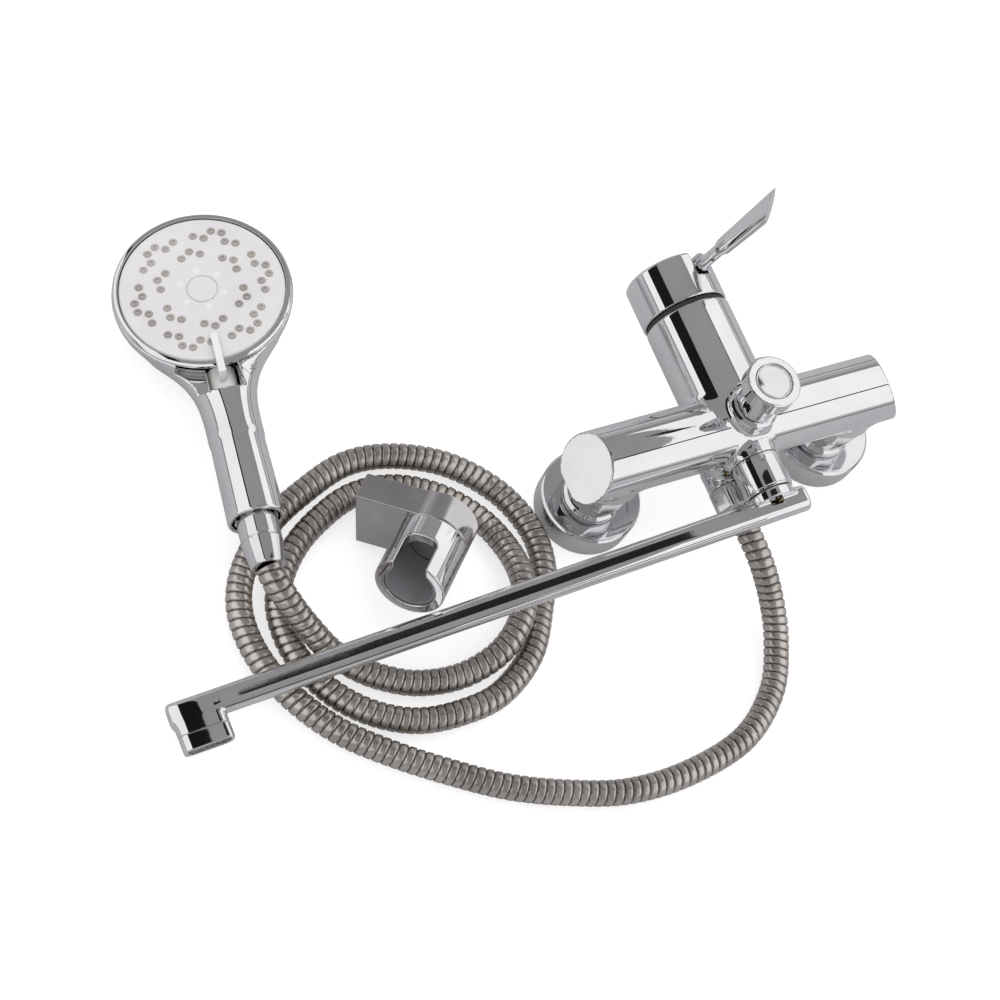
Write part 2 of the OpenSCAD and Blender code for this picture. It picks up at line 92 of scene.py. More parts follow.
# ------------------------------------------------------------------ mesh tools, all in millimetres
def new_mesh(name, verts, faces, M=I4, normals=None, smooth=True):
    """Mesh object from local millimetre points; the mesh itself is in row-frame metres, so the object sits at the origin."""
    v = np.asarray(verts, float)
    A = np.array(M, float)
    w = (v @ A[:3, :3].T + A[:3, 3]) / 1000.0
    me = bpy.data.meshes.new(name)
    if isinstance(faces, np.ndarray):
        k = faces.shape[1]
        me.vertices.add(len(w)); me.vertices.foreach_set("co", w.astype(np.float32).ravel())
        me.loops.add(faces.size); me.loops.foreach_set("vertex_index", faces.astype(np.int32).ravel())
        me.polygons.add(len(faces))
        me.polygons.foreach_set("loop_start", np.arange(0, faces.size, k, dtype=np.int32))
        me.update(calc_edges=True)
    else:
        me.from_pydata([tuple(p) for p in w], [], faces)
    me.validate(clean_customdata=False)
    me.polygons.foreach_set("use_smooth", np.full(len(me.polygons), smooth))
    if normals is not None and len(normals) == len(me.vertices):
        n = np.asarray(normals, float) @ A[:3, :3].T
        n /= np.maximum(np.linalg.norm(n, axis=1, keepdims=True), 1e-9)
        me.normals_split_custom_set_from_vertices([tuple(x) for x in n])
    me.update()
    ob = bpy.data.objects.new(name, me)
    bpy.context.scene.collection.objects.link(ob)
    return ob


def give(ob, mat, body, slot, *nodes):
    ob.data.materials.clear()
    ob.data.materials.append(mat)
    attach(ob, body)
    if nodes:
        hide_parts(*nodes)
    return ob


def fillet(pts, radii, n=6):
    """Rounds the corners of an open or closed 2D profile."""
    out = []
    N = len(pts)
    for i, p in enumerate(pts):
        r = radii[i] if isinstance(radii, (list, tuple)) else radii
        if r <= 0 or i == 0 or i == N - 1:
            out.append(tuple(p)); continue
        a, b, c = np.array(pts[i - 1], float), np.array(p, float), np.array(pts[i + 1], float)
        u, w = (a - b), (c - b)
        lu, lw = np.linalg.norm(u), np.linalg.norm(w)
        u, w = u / lu, w / lw
        ang = math.acos(max(-1, min(1, float(u @ w))))
        if ang > pi - 0.05:
            out.append(tuple(p)); continue
        t = min(r / math.tan(ang / 2), 0.48 * lu, 0.48 * lw)
        rr = t * math.tan(ang / 2)
        bis = (u + w) / np.linalg.norm(u + w)
        cc = b + bis * (rr / math.sin(ang / 2))
        p0, p1 = b + u * t, b + w * t
        a0, a1 = math.atan2(*(p0 - cc)[::-1]), math.atan2(*(p1 - cc)[::-1])
        d = (a1 - a0 + pi) % (2 * pi) - pi
        for k in range(n + 1):
            q = a0 + d * k / n
            out.append((cc[0] + rr * math.cos(q), cc[1] + rr * math.sin(q)))
    return out


def lathe(name, prof, M=I4, axis="z", segs=128, closed=True, r=0.5, wob=None):
    """Revolves (radius, height) points round local z or y. closed joins the last point to the first, as in a ring; otherwise ends on the axis are capped."""
    pts = list(prof)
    if closed:
        rot = [pts[-1]] + pts + [pts[0]]
        f = fillet(rot, r)[1:-1]
    else:
        f = fillet(pts, r)
    f = np.array(f, float)
    P = len(f)
    # vertex normals from the profile, split where it is still sharp
    th = np.linspace(0, 2 * pi, segs, endpoint=False)
    c, s = np.cos(th), np.sin(th)
    R, Z = f[:, 0], f[:, 1]
    if axis == "z":
        V = np.stack([np.outer(c, R), np.outer(s, R), np.tile(Z, (segs, 1))], -1)
    else:
        V = np.stack([np.outer(c, R), np.tile(Z, (segs, 1)), -np.outer(s, R)], -1)
    V = V.reshape(-1, 3)
    faces = []
    last = P if closed else P - 1
    for i in range(segs):
        j = (i + 1) % segs
        for k in range(last):
            l = (k + 1) % P
            faces.append((i * P + k, j * P + k, j * P + l, i * P + l))
    ob = new_mesh(name, V, np.array(faces), M)
    import bmesh
    bm = bmesh.new(); bm.from_mesh(ob.data)
    bmesh.ops.remove_doubles(bm, verts=bm.verts, dist=1e-7)
    bmesh.ops.recalc_face_normals(bm, faces=bm.faces)
    bm.to_mesh(ob.data); bm.free()
    ob.data.polygons.foreach_set("use_smooth", np.full(len(ob.data.polygons), True))
    ob.data.set_sharp_from_angle(angle=math.radians(28))
    return ob


# signed distances, in millimetres; P is (n, 3)
def s_cyl(P, axis, c, r, a, b, rr=0.0, r2=None):
    """Cylinder or cone along x, y or z through c, from a to b along that axis."""
    i = "xyz".index(axis)
    o = [k for k in range(3) if k != i]
    q = np.hypot(P[:, o[0]] - c[o[0]], P[:, o[1]] - c[o[1]])
    h = P[:, i]
    rad = r if r2 is None else r + (r2 - r) * np.clip((h - a) / (b - a), 0, 1)
    k = 1.0 if r2 is None else math.cos(math.atan2(abs(r2 - r), abs(b - a)))
    dx = (q - rad) * k + rr
    dy = np.abs(h - (a + b) / 2) - (b - a) / 2 + rr
    return np.minimum(np.maximum(dx, dy), 0) + np.hypot(np.maximum(dx, 0), np.maximum(dy, 0)) - rr


def s_box(P, lo, hi, rr=0.0):
    lo, hi = np.array(lo, float), np.array(hi, float)
    q = np.abs(P - (lo + hi) / 2) - (hi - lo) / 2 + rr
    return np.minimum(q.max(1), 0) + np.linalg.norm(np.maximum(q, 0), axis=1) - rr


def s_poly(r, h, pts):
    """Exact signed distance to a closed 2D polygon."""
    pts = np.array(pts, float)
    d = np.full(r.shape, 1e9)
    inside = np.zeros(r.shape, bool)
    n = len(pts)
    for i in range(n):
        a, b = pts[i], pts[(i + 1) % n]
        e = b - a
        wx, wy = r - a[0], h - a[1]
        t = np.clip((wx * e[0] + wy * e[1]) / max(e @ e, 1e-12), 0, 1)
        d = np.minimum(d, (wx - e[0] * t) ** 2 + (wy - e[1] * t) ** 2)
        c1, c2 = h >= a[1], h < b[1]
        cr = e[0] * wy > e[1] * wx
        inside ^= (c1 & c2 & cr) | (~c1 & ~c2 & ~cr)
    d = np.sqrt(d)
    return np.where(inside, -d, d)


def s_rev(P, pts, rr=0.0, axis="z", c=(0, 0)):
    if axis == "z":
        r, h = np.hypot(P[:, 0] - c[0], P[:, 1] - c[1]), P[:, 2]
    else:
        r, h = np.hypot(P[:, 0] - c[0], P[:, 2] - c[1]), P[:, 1]
    return s_poly(r, h, pts) - rr


def s_hex(P, af, axis="z", c=(0, 0)):
    o = [k for k in range(3) if k != "xyz".index(axis)]
    x, y = P[:, o[0]] - c[0], P[:, o[1]] - c[1]
    d = np.full(len(P), -1e9)
    for k in range(6):
        q = math.radians(30 + 60 * k)
        d = np.maximum(d, x * math.cos(q) + y * math.sin(q) - af / 2)
    return d


def s_half(P, n, p):
    n = np.array(n, float); n /= np.linalg.norm(n)
    return (P - np.array(p, float)) @ n


def smin(a, b, k):
    h = np.maximum(k - np.abs(a - b), 0) / k
    return np.minimum(a, b) - h * h * k * 0.25


def smax(a, b, k):
    return -smin(-a, -b, k)


def nets(name, fn, lo, hi, step, M=I4, steps=3):
    """Polygon mesh of fn = 0 by dual cells, each point then moved on to the surface, with normals from fn's own slope."""
    lo, hi = np.array(lo, float), np.array(hi, float)
    n = np.ceil((hi - lo) / step).astype(int) + 1
    ax = [lo[i] + step * np.arange(n[i]) for i in range(3)]
    V = np.empty(n, np.float64)
    yz = np.stack(np.meshgrid(ax[1], ax[2], indexing="ij"), -1).reshape(-1, 2)
    chunk = max(1, 250000 // len(yz))
    for i in range(0, n[0], chunk):
        xs = ax[0][i:i + chunk]
        P = np.concatenate([np.repeat(xs, len(yz))[:, None], np.tile(yz, (len(xs), 1))], 1)
        V[i:i + chunk] = fn(P).reshape(len(xs), n[1], n[2])
    V[np.abs(V) < 1e-9] = 1e-9
    S = V < 0
    c = n - 1
    acc = np.zeros((*c, 3)); cnt = np.zeros(c)
    corner = [(a, b, d) for a in (0, 1) for b in (0, 1) for d in (0, 1)]
    for p in corner:
        for i in range(3):
            if p[i]:
                continue
            q = list(p); q[i] = 1
            sp = tuple(slice(p[k], p[k] + c[k]) for k in range(3)); sq = tuple(slice(q[k], q[k] + c[k]) for k in range(3))
            a, b = V[sp], V[sq]
            m_ = (a < 0) != (b < 0)
            t = np.where(m_, a / np.where(m_, a - b, 1), 0)
            for k in range(3):
                acc[..., k] += m_ * (p[k] + (t if k == i else 0))
            cnt += m_
    on = cnt > 0
    idx = np.full(c, -1); idx[on] = np.arange(on.sum())
    cell = np.argwhere(on)
    P = lo + step * (cell + acc[on] / cnt[on][:, None])
    faces = []
    for i in range(3):
        j, k = (i + 1) % 3, (i + 2) % 3
        sl0 = [slice(1, -1)] * 3; sl0[i] = slice(0, n[i] - 1)
        sl1 = [slice(1, -1)] * 3; sl1[i] = slice(1, n[i])
        A, B = S[tuple(sl0)], S[tuple(sl1)]
        for flip, mm in ((False, A & ~B), (True, ~A & B)):
            e = np.argwhere(mm)
            if not len(e):
                continue
            off = np.ones(3, int); off[i] = 0
            e = e + off
            def cc(dj, dk):
                q = e.copy(); q[:, j] += dj; q[:, k] += dk
                return idx[q[:, 0], q[:, 1], q[:, 2]]
            quad = np.stack([cc(-1, -1), cc(0, -1), cc(0, 0), cc(-1, 0)], 1)
            faces.append(quad[:, ::-1] if flip else quad)
    F = np.concatenate(faces)
    F = F[(F >= 0).all(1)]

    def grad(Q):
        e = 0.02
        g = np.empty_like(Q)
        for k in range(3):
            d = np.zeros(3); d[k] = e
            g[:, k] = (fn(Q + d) - fn(Q - d)) / (2 * e)
        return g
    start = P.copy()
    for _ in range(steps):
        g = grad(P); d = fn(P)
        mv = g * (d / np.maximum((g * g).sum(1), 0.2))[:, None]
        P = P - mv
        far = P - start
        l = np.linalg.norm(far, axis=1)
        cap = 0.8 * step
        P = start + far * np.minimum(1, cap / np.maximum(l, 1e-9))[:, None]
    g = grad(P)
    return new_mesh(name, P, F, M, normals=g)


def tube_along(name, pts, prof, segs, twist, M=I4, caps=True):
    """Tube round a line: prof(phase) gives the radius, where phase grows along the line and round it, so that ribs run as a screw."""
    pts = np.asarray(pts, float)
    T = np.gradient(pts, axis=0)
    T /= np.linalg.norm(T, axis=1, keepdims=True)
    s = np.concatenate([[0], np.cumsum(np.linalg.norm(np.diff(pts, axis=0), axis=1))])
    N = np.zeros_like(T)
    n0 = np.cross(T[0], [0.01, 0.02, 1.0]); n0 /= np.linalg.norm(n0)
    N[0] = n0
    for i in range(1, len(pts)):
        v = N[i - 1] - T[i] * (N[i - 1] @ T[i])
        N[i] = v / np.linalg.norm(v)
    B = np.cross(T, N)
    th = np.linspace(0, 2 * pi, segs, endpoint=False)
    rad = prof(s[:, None] / twist + th[None, :] / (2 * pi), s[:, None])
    V = pts[:, None, :] + rad[..., None] * (np.cos(th)[None, :, None] * N[:, None, :] + np.sin(th)[None, :, None] * B[:, None, :])
    n = len(pts)
    i, k = np.meshgrid(np.arange(n - 1), np.arange(segs), indexing="ij")
    a = i * segs + k; b = i * segs + (k + 1) % segs
    F = np.stack([a, b, b + segs, a + segs], -1).reshape(-1, 4)
    V = V.reshape(-1, 3)
    if caps:
        V = np.concatenate([V, pts[:1], pts[-1:]])
        c0, c1 = len(V) - 2, len(V) - 1
        e0 = np.array([[c0, (q + 1) % segs, q, q] for q in range(segs)])
        e1 = np.array([[c1, (n - 1) * segs + q, (n - 1) * segs + (q + 1) % segs, (n - 1) * segs + (q + 1) % segs] for q in range(segs)])
        faces = [tuple(f) for f in F] + [tuple(f[:3]) for f in e0] + [tuple(f[:3]) for f in e1]
        return new_mesh(name, V, faces, M), s[-1]
    return new_mesh(name, V, F, M), s[-1]


# ------------------------------------------------------------------ materials
def nodes_of(name):
    mat = bpy.data.materials.new(name)
    mat.use_nodes = True
    nt = mat.node_tree
    bsdf = nt.nodes["Principled BSDF"]
    return mat, nt, bsdf


def tex_coord(nt, scale=1.0):
    tc = nt.nodes.new("ShaderNodeTexCoord")
    mp = nt.nodes.new("ShaderNodeMapping")
    mp.inputs["Scale"].default_value = (scale, scale, scale) if not hasattr(scale, "__len__") else scale
    nt.links.new(tc.outputs["Object"], mp.inputs["Vector"])
    return mp.outputs["Vector"]


def noise(nt, vec, scale, detail=4.0, rough=0.55):
    n = nt.nodes.new("ShaderNodeTexNoise")
    n.inputs["Scale"].default_value = scale
    n.inputs["Detail"].default_value = detail
    n.inputs["Roughness"].default_value = rough
    nt.links.new(vec, n.inputs["Vector"])
    return n.outputs["Fac"]


def ramp(nt, fac, stops):
    r = nt.nodes.new("ShaderNodeValToRGB")
    el = r.color_ramp.elements
    while len(el) > 1:
        el.remove(el[-1])
    el[0].position = stops[0][0]; el[0].color = (*stops[0][1], 1)
    for p, c in stops[1:]:
        e = el.new(p); e.color = (*c, 1)
    nt.links.new(fac, r.inputs["Fac"])
    return r.outputs["Color"]


def maprange(nt, fac, a, b, c=0.0, d=1.0):
    r = nt.nodes.new("ShaderNodeMapRange")
    r.inputs["From Min"].default_value = c
    r.inputs["From Max"].default_value = d
    r.inputs["To Min"].default_value = a
    r.inputs["To Max"].default_value = b
    nt.links.new(fac, r.inputs["Value"])
    return r.outputs["Result"]


def bump(nt, bsdf, height, strength, dist):
    b = nt.nodes.new("ShaderNodeBump")
    b.inputs["Strength"].default_value = strength
    b.inputs["Distance"].default_value = dist
    nt.links.new(height, b.inputs["Height"])
    nt.links.new(b.outputs["Normal"], bsdf.inputs["Normal"])


def metal(name, dark, light, r0, r1, ripple=0.00002, scale=260.0, scratch=0.0):
    """Polished or satin metal: colour and gloss drift over centimetres, fine wipe marks and a faint plating ripple."""
    mat, nt, bsdf = nodes_of(name)
    v = tex_coord(nt)
    a = noise(nt, v, 34.0, 5.0, 0.6)
    col = ramp(nt, a, [(0.3, dark), (0.62, light)])
    nt.links.new(col, bsdf.inputs["Base Color"])
    bsdf.inputs["Metallic"].default_value = 1.0
    st = nt.nodes.new("ShaderNodeMapping"); st.inputs["Scale"].default_value = (900, 60, 240)
    tc = nt.nodes.new("ShaderNodeTexCoord"); nt.links.new(tc.outputs["Object"], st.inputs["Vector"])
    w = noise(nt, st.outputs["Vector"], 3.0, 6.0, 0.7)
    mix = nt.nodes.new("ShaderNodeMath"); mix.operation = "MULTIPLY"
    nt.links.new(a, mix.inputs[0]); nt.links.new(w, mix.inputs[1])
    nt.links.new(maprange(nt, mix.outputs[0], r0, r1, 0.1, 0.45), bsdf.inputs["Roughness"])
    bump(nt, bsdf, noise(nt, v, scale, 3.0, 0.5), 0.25, ripple)
    return mat


def plastic(name, base, other, r0, r1, grain=0.00003, scale=900.0, sub=0.0, spec=0.5):
    mat, nt, bsdf = nodes_of(name)
    v = tex_coord(nt)
    a = noise(nt, v, 40.0, 4.0, 0.55)
    col = ramp(nt, a, [(0.3, base), (0.7, other)])
    nt.links.new(col, bsdf.inputs["Base Color"])
    nt.links.new(maprange(nt, a, r0, r1), bsdf.inputs["Roughness"])
    bsdf.inputs["Specular IOR Level"].default_value = spec
    if sub:
        bsdf.inputs["Subsurface Weight"].default_value = sub
        bsdf.inputs["Subsurface Radius"].default_value = (0.002, 0.002, 0.002)
    bump(nt, bsdf, noise(nt, v, scale, 4.0, 0.6), 0.3, grain)
    return mat


chrome = metal("chrome_plate", (0.78, 0.79, 0.80), (0.86, 0.865, 0.87), 0.015, 0.06)
chrome_b = metal("chrome_plate_soft", (0.72, 0.73, 0.745), (0.80, 0.805, 0.81), 0.03, 0.10)
chrome_nut = metal("chrome_turned", (0.66, 0.67, 0.68), (0.78, 0.78, 0.785), 0.05, 0.14)
hose_steel = metal("hose_stainless", (0.46, 0.42, 0.385), (0.66, 0.615, 0.575), 0.22, 0.36, ripple=0.00003, scale=600.0)
brass = metal("turned_brass", (0.62, 0.44, 0.18), (0.80, 0.62, 0.30), 0.18, 0.36, ripple=0.00004)
steel = metal("stainless_steel", (0.46, 0.46, 0.47), (0.62, 0.62, 0.63), 0.20, 0.34)
dark_steel = metal("dark_screw_steel", (0.16, 0.16, 0.17), (0.30, 0.30, 0.31), 0.22, 0.40)
mesh_steel = metal("aerator_gauze", (0.22, 0.22, 0.22), (0.42, 0.42, 0.43), 0.25, 0.45)
holder_grey = metal("holder_satin_plate", (0.52, 0.50, 0.51), (0.62, 0.60, 0.61), 0.10, 0.20)
rubber = plastic("black_rubber", (0.018, 0.018, 0.02), (0.04, 0.04, 0.042), 0.55, 0.75)
white_plastic = plastic("white_acetal", (0.78, 0.77, 0.74), (0.86, 0.85, 0.82), 0.30, 0.45, sub=0.05)
ivory = plastic("fired_ceramic", (0.84, 0.82, 0.76), (0.92, 0.90, 0.86), 0.12, 0.25)
face_grey = plastic("spray_face_satin", (0.66, 0.645, 0.655), (0.72, 0.705, 0.715), 0.34, 0.46, grain=0.00002)
nozzle_grey = plastic("nozzle_silicone", (0.30, 0.27, 0.25), (0.46, 0.43, 0.40), 0.35, 0.5, sub=0.05)
tab_white = plastic("selector_frosted", (0.74, 0.73, 0.73), (0.84, 0.83, 0.83), 0.28, 0.42, sub=0.15)
liner_white = plastic("liner_grey", (0.17, 0.168, 0.18), (0.23, 0.225, 0.24), 0.25, 0.4)

# ------------------------------------------------------------------ the hose, end to end
route = [[-7,-42.05,36.6],[-6.9,-52.5,36],[-5.2,-68.3,32],[-3,-86.1,21.2],[-6,-106.2,12.7],[-18.9,-131.4,7.7],[-45.9,-151.1,7.2],[-84,-159,7.2],[-120,-158,7.2],[-151,-149,7.2],
[-181,-136,7.2],[-208,-119,7.2],[-234,-100,7.2],[-256,-80,7.2],[-272,-56,7.2],[-281,-30,7.2],[-281,-5,7.2],[-271,16,7.2],[-250,36,7.2],[-225,49,7.2],
[-197,58,8],[-170,55,9],[-142,42,8.4],[-120.9,20,7.2],[-111.7,-5.5,7.2],[-113.6,-27.8,7.2],[-124.5,-48.9,7.1],[-140.7,-72.2,7.2],[-165.1,-87.5,7.2],[-190,-90.9,7.2],
[-214,-88,7.2],[-235,-77,7.2],[-251.2,-60.1,7.2],[-261.2,-38,7.2],[-262.4,-15.7,7.2],[-256.1,2.6,7.2],[-242.1,19,7.2],[-224,31,7.2],[-200.1,40,7.2],[-176,38.5,7.2],
[-154,27,7.2],[-137.8,8.8,7.5],[-130.8,-11.9,10.5],[-131.4,-31.8,15.6],[-136.9,-47.5,17.3],[-147.7,-60.6,16.5],[-163,-69.4,13],[-183.2,-72.4,8],[-206,-69,7.3],[-224,-59.8,7.3],
[-236.5,-50,9.4],[-245.8,-39.6,12.8],[-252.6,-29.8,18.6],[-258.6,-20.6,25],[-263.4,-11.2,30.8],[-266.6,-3.6,34.2],[-267.6,4.06,35.23]]
route = np.array(route, float)
HOSE_D = 14.0
PITCH = 4.7


def spline(pts, n=24):
    out = []
    N = len(pts)
    for i in range(N - 1):
        a, b, c, d = pts[max(i - 1, 0)], pts[i], pts[i + 1], pts[min(i + 2, N - 1)]
        for k in range(n):
            t = k / n
            out.append(0.5 * ((2 * b) + (c - a) * t + (2 * a - 5 * b + 4 * c - d) * t * t + (3 * b - a - 3 * c + d) * t ** 3))
    out.append(pts[-1])
    return np.array(out)


def even(pts, step):
    s = np.concatenate([[0], np.cumsum(np.linalg.norm(np.diff(pts, axis=0), axis=1))])
    q = np.linspace(0, s[-1], int(round(s[-1] / step)) + 1)
    return np.stack([np.interp(q, s, pts[:, k]) for k in range(3)], 1)


line = even(spline(route), 0.47)


def ribs(phase, s):
    """Interlocked strip: a band with rounded shoulders and a narrow deep groove, once a turn."""
    p = np.mod(phase, 1.0)
    g = np.clip(1 - np.abs(p - 0.5) / 0.5, 0, 1)            # 0 at the seam, 1 at mid band
    sh = np.clip(g / 0.30, 0, 1)
    sh = sh * sh * (3 - 2 * sh)
    step_ = 0.16 * np.clip((p - 0.30) / 0.5, 0, 1)            # each band overlaps the next a little
    return HOSE_D / 2 - 1.12 * (1 - sh) - 0.10 * (1 - g) ** 2 - step_


hose, hose_len = tube_along("hose_corrugated", line, ribs, 26, PITCH)
# painted shade: a mask per vertex, 0 in the grooves between the ribs and 1 on the band crowns, that darkens the hose's
# colour in its grooves
deep = np.ones(len(hose.data.vertices))
hs_ = np.concatenate([[0], np.cumsum(np.linalg.norm(np.diff(line, axis=0), axis=1))])
hr = ribs(hs_[:, None] / PITCH + np.arange(26)[None, :] / 26.0, hs_[:, None])
deep[:hr.size] = np.clip((hr.ravel() - (HOSE_D / 2 - 1.05)) / 0.85, 0, 1)
att = hose.data.attributes.new("painted_groove_shade", "FLOAT", "POINT")
att.data.foreach_set("value", deep.astype(np.float32))
hn = hose_steel.node_tree
ha = hn.nodes.new("ShaderNodeAttribute"); ha.attribute_name = "painted_groove_shade"
hb = hn.nodes["Principled BSDF"]
src = hb.inputs["Base Color"].links[0].from_socket
hm = hn.nodes.new("ShaderNodeMix"); hm.data_type = "RGBA"
hn.links.new(ha.outputs["Fac"], hm.inputs[0])
# painted shade: the near-black colour the grooves are mixed towards, where the mask is 0
hm.inputs[6].default_value = (0.045, 0.038, 0.034, 1)
hn.links.new(src, hm.inputs[7])
hn.links.new(hm.outputs[2], hb.inputs["Base Color"])
give(hose, hose_steel, "fixed_body", "hose_steel", "shower_hose")

# ------------------------------------------------------------------ cast body
A94, R19 = 94.0, 19.0
OX, OZ = -7.0, 36.6
n_f = ROT(0, 20, 0)
fx, fz = np.array(n_f.to_3x3() @ Vector((1, 0, 0))), np.array(n_f.to_3x3() @ Vector((0, 0, 1)))


def body_fn(P):
    tube = s_cyl(P, "x", (0, 0, H), R19, -A94 - 8, A94 + 8, 0.9)
    legs = np.minimum(s_cyl(P, "z", (-75, 0, 0), R19, 44, H, 0.5), s_cyl(P, "z", (75, 0, 0), R19, 44, H, 0.5))
    d = smin(tube, legs, 3.0)
    for s in (-1, 1):
        Q = P * np.array([s, 1, 1]) - np.array([-94.2, 0, H])
        d = smax(d, -(Q @ fx), 0.9)
    d = smin(d, s_cyl(P, "y", (0, 0, H), 24.2, -2, 67, 0.8), 4.0)
    d = smin(d, s_cyl(P, "y", (0, 0, H), 14, -22, 4, 0.6), 3.0)
    d = smin(d, s_cyl(P, "z", (0, 0, 0), 12.5, H, H + 22.5, 0.5), 3.5)
    out = s_cyl(P, "z", (OX, -12, 0), 11, OZ, H)
    out = np.minimum(out, np.linalg.norm(P - np.array([OX, -12, OZ]), axis=1) - 11)
    out = smin(out, s_cyl(P, "y", (OX, 0, OZ), 11, -24, -12, 0.5), 1.0)
    d = smin(d, out, 3.5)
    d = smax(d, -s_cyl(P, "y", (0, 0, H), 17.65, 30, 90), 0.4)
    d = smax(d, -s_cyl(P, "y", (0, 0, H), 20.95, 57, 90), 0.5)
    d = smax(d, -s_cyl(P, "y", (0, 0, H), 9.6, -40, 5), 0.4)
    d = smax(d, -s_cyl(P, "z", (0, 0, 0), 9.1, H - 6.4, H + 60), 0.4)
    d = smax(d, -s_cyl(P, "z", (0, 0, 0), 14, H + 22.5, H + 34), 0.3)
    d = smax(d, -s_cyl(P, "y", (0, 0, H), 14.2, -50, -22.1), 0.3)
    d = smax(d, -s_cyl(P, "y", (OX, 0, OZ), 6, -40, -11), 0.4)
    for s in (-75, 75):
        d = smax(d, -s_cyl(P, "z", (s, 0, 0), 9.5, 20, H), 0.4)
        d = smax(d, -s_cyl(P, "z", (s, 0, 0), 13.6, 20, 44), 0.3)
    for s in (-75, 75):
        ringd = np.maximum(s_cyl(P, "z", (s, 0, 0), 30, 43, 44.8), -s_cyl(P, "z", (s, 0, 0), 13.5, 30, 60))
        d = smax(d, -ringd, 0.3)
    return d


blo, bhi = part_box("body_casting")
body = nets("body_cast", body_fn, [1000 * x - 1.3 for x in blo], [1000 * x + 1.3 for x in bhi], 1.05)
give(body, chrome, "fixed_body", "chrome_body", "body_casting")

# ------------------------------------------------------------------ wall side
for side, tag in ((-1, "l"), (1, "r")):
    M = Matrix.Translation((75 * side, 0, 0))
    fl = lathe("wall_flange_" + tag, [(12.0, 0.3), (10.8, 15.4), (10.8, 17.6), (26.9, 17.6), (28.3, 16.2), (28.0, 2.0), (27.6, 0.0), (25.9, 0.0), (25.9, 14.6), (12.4, 14.6)][2:] + [], M, segs=144, r=0.9)
    give(fl, chrome_b, "fixed_body", "chrome_flange", *(["wall_flanges"] if side < 0 else []))

    def nut_fn(P):
        z = P[:, 2]
        h = s_hex(P, 31)
        cone = (np.hypot(P[:, 0], P[:, 1]) - (16 + 2.5 * (z - 24) / 19.4)) * 0.99
        d = smax(h, cone, 0.8)
        d = smax(d, np.maximum(24 - z, z - 43.4), 0.7)
        d = smax(d, -s_cyl(P, "z", (0, 0, 0), 13.1, 20, 30.8), 0.3)
        d = smax(d, -s_cyl(P, "z", (0, 0, 0), 12.4, 30, 60), 0.3)
        for zz in (33.0, 37.5):     # two turned lines on the collar
            d = smax(d, -np.hypot(np.hypot(P[:, 0], P[:, 1]) - (16.0 + 2.5 * (zz - 24) / 19.4) * 1.0, z - zz) + 0.45, 0.3)
        return d
    nut = nets("union_nut_" + tag, nut_fn, (-19, -19, 23), (19, 19, 44.4), 0.62, M)
    give(nut, chrome_nut, "fixed_body", "chrome_nut", *(["union_nuts"] if side < 0 else []))
    esc = lathe("union_shoulder_" + tag, [(10.9, 17.7), (16.6, 17.7), (16.2, 19.2), (14.6, 20.6), (14.2, 23.8), (10.9, 23.8)], M, segs=96, r=0.5)
    give(esc, chrome_b, "fixed_body", "chrome_nut")

# ------------------------------------------------------------------ cartridge end
tr = lathe("trim_ring_dark", [(19.25, 67.07), (22.9, 67.07), (23.2, 67.5), (23.2, 69.2), (22.9, 69.6), (19.25, 69.6)], Matrix.Translation((0, 0, H)), axis="y", segs=144, r=0.25)
give(tr, rubber, "fixed_body", "trim_ring", "trim_ring")


def cap_fn(P):
    r = np.hypot(P[:, 0], P[:, 2]); y = P[:, 1]
    d = s_poly(r, y, [(0, 69.9 + 0.9), (23.9, 70.8), (23.9, 95.7), (23.2, 95.7), (0, 95.7)]) - 0.6
    d = s_poly(r, y, [(-5, 70.9), (23.5, 70.9), (23.5, 94.6), (22.7, 95.4), (-5, 95.4)]) - 1.0
    dish = np.linalg.norm(P - np.array([0, 96.4 + 260, 0]), axis=1) - 260.5      # the end face is very slightly dished
    d = smax(d, -dish, 0.5)
    d = smax(d, -s_cyl(P, "y", (0, 0, 0), 21.5, 60, 93), 0.4)
    slot_ = np.minimum(s_box(P, (-4.6, 82, 6), (4.6, 120, 40)), s_cyl(P, "y", (0, 0, 6), 4.6, 82, 120))
    return smax(d, -slot_, 0.9)


cap = nets("lever_cap_shell", cap_fn, (-25.5, 69, -25.5), (25.5, 97.4, 25.5), 0.8, TURN)
give(cap, chrome, "temperature_cap", "chrome_lever", "lever_cap")

n_tip = np.array(ROT(0, 58.2, -54.7).to_3x3() @ Vector((0, 0, 1)))
RY = 87.0
rod_prof = [(-4, 1.2), (2.5, 1.2), (2.5, 6.4), (3.3, 6.8), (3.3, 39.6), (3.5, 40.0), (4.6, 43.0), (6.1, 96), (-4, 96)]


def rod_fn(P):
    Q = P - np.array([0, RY, 0])
    d = s_poly(np.hypot(Q[:, 0], Q[:, 1]), Q[:, 2], rod_prof) - 0.15
    return smax(d, (Q - np.array([0, 0, 82.0])) @ n_tip, 0.7)


rlo = (-9.5, RY - 9.5, 0.4); rhi = (9.5, RY + 9.5, 97)
rod = nets("lever_rod_tapered", rod_fn, rlo, rhi, 0.5, TURN)
give(rod, chrome, "lever", "chrome_lever", "lever_rod")
cuff = lathe("lever_slot_cuff", [(3.35, 24.6), (4.15, 24.6), (4.15, 26.4), (3.35, 26.4)], TURN @ Matrix.Translation((0, RY, 0)), segs=64, r=0.3)
give(cuff, chrome_b, "lever", "chrome_lever")

# ------------------------------------------------------------------ spout
col = lathe("spout_collar_turned", [(9.7, -41.6), (13.2, -41.6), (13.2, -40.6), (13.7, -40.2), (13.7, -23.6), (13.2, -23.2), (13.2, -22.2), (9.7, -22.2)], Matrix.Translation((0, 0, H)), axis="y", segs=128, r=0.3)
give(col, chrome, "fixed_body", "chrome_collar", "spout_collar")

XR = -341.0


